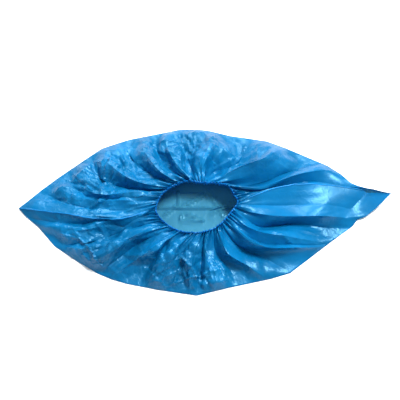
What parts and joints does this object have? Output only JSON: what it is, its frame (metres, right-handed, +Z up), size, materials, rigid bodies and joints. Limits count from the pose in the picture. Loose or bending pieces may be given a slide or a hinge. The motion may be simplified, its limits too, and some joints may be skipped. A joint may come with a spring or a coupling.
{
  "type": "disposable shoe cover",
  "caption": "Disposable plastic film shoe cover lying opened out on its sole, with a gathered elastic mouth, slack folds and a weld at the toe and heel.",
  "frame": {"origin": "on the floor, under the centre of the bounding box of the cover as it lies on its sole", "axes": "+X from the toe tip to the heel tip, +Z up out of the mouth, +Y to the far side"},
  "size_m": [0.4, 0.1897, 0.0352],
  "materials": {
    "film": "thin translucent polyethylene film, satin, creased",
    "hem": "film hem rolled over an elastic thread and gathered",
    "weld": "heat-welded film, two layers fused"
  },
  "bodies": {
    "root": {"film_body": "film", "elastic_hem": "hem", "toe_seam": "weld", "heel_seam": "weld"}
  },
  "joints": []
}
